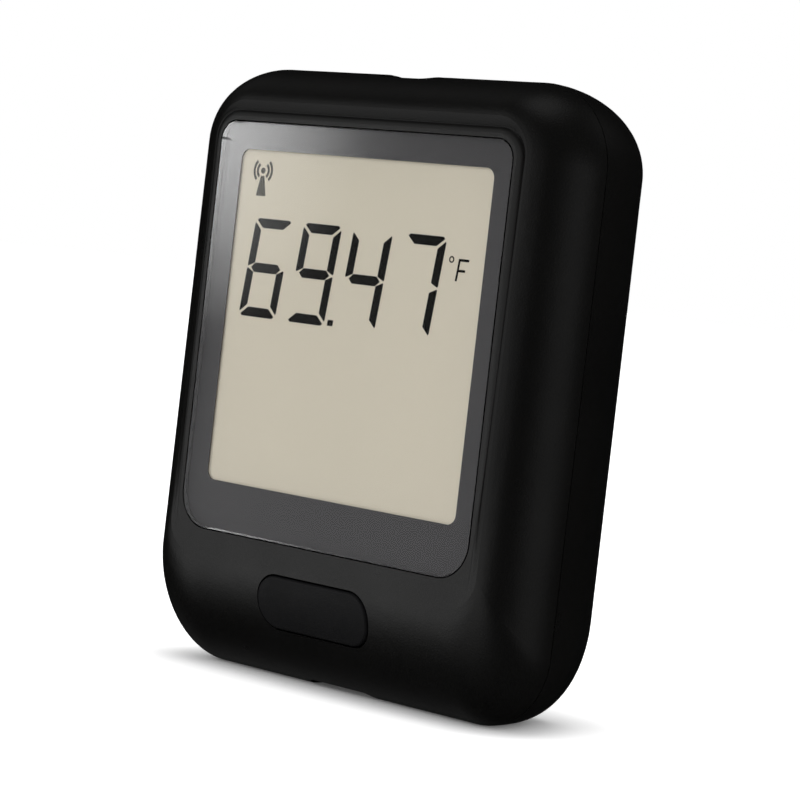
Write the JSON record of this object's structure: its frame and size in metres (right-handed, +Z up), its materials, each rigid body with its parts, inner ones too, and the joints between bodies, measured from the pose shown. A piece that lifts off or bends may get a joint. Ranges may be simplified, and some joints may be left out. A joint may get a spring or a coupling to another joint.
{
  "type": "temperature data logger",
  "caption": "Handheld wireless temperature logger: pillow-shaped black housing, wide numeric display behind a flush window, one push button and a charging socket.",
  "frame": {"origin": "middle of the footprint, on the surface that the logger stands on", "axes": "+Z up, -Y out of the display's face, +X to the viewer's right as seen from the face"},
  "size_m": [0.068, 0.0233, 0.0822],
  "materials": {
    "housing": "fine satin moulded black",
    "lens": "clear polished acrylic pane",
    "border_print": "dark grey print on a thin film",
    "tape": "black double-sided tape",
    "polariser": "warm beige polarising film",
    "display_glass": "polished soda-lime glass",
    "reflector": "satin metallised film",
    "frame_plastic": "white moulding",
    "strip_rubber": "striped silicone rubber",
    "button": "satin moulded black",
    "switch_plastic": "black glass-filled moulding",
    "sheet_steel": "tinned pressed sheet",
    "board_mask": "green solder mask",
    "screw_steel": "zinc-plated steel",
    "pouch_foil": "laminated foil",
    "foam": "closed-cell foam tape",
    "header_plastic": "ivory moulding",
    "chip_ceramic": "fired ceramic",
    "chip_resin": "black moulded resin",
    "choke": "pressed ferrite and resin",
    "bead_resin": "glossy epoxy bead"
  },
  "bodies": {
    "housing": {"front_cover": "housing", "rear_cover": "housing", "display_lens": "lens", "lens_border": "border_print", "lens_adhesive": "tape", "display_polariser": "polariser", "display_glass": "display_glass", "display_reflector": "reflector", "display_frame": "frame_plastic", "contact_strip": "strip_rubber", "switch_base": "switch_plastic", "switch_plate": "sheet_steel", "circuit_board": "board_mask", "board_screws": "screw_steel", "case_screws": "screw_steel", "socket_shell": "sheet_steel", "socket_tongue": "switch_plastic", "battery_pouch": "pouch_foil", "battery_pad": "foam", "battery_header": "header_plastic", "radio_board": "board_mask", "radio_shield": "sheet_steel", "radio_antenna": "chip_ceramic", "controller_chip": "chip_resin", "memory_chip": "chip_resin", "charger_chip": "chip_resin", "clock_crystal": "sheet_steel", "power_inductor": "choke", "board_passives": "chip_ceramic", "temperature_sensor": "bead_resin"},
    "button": {"button_cap": "button", "switch_plunger": "switch_plastic"}
  },
  "joints": [
    {"name": "button_press", "type": "slide", "parent": "housing", "child": "button", "axis": [0, 1, 0], "range_m": [0, 0.0003], "stiffness_N_per_m": 3000}
  ]
}
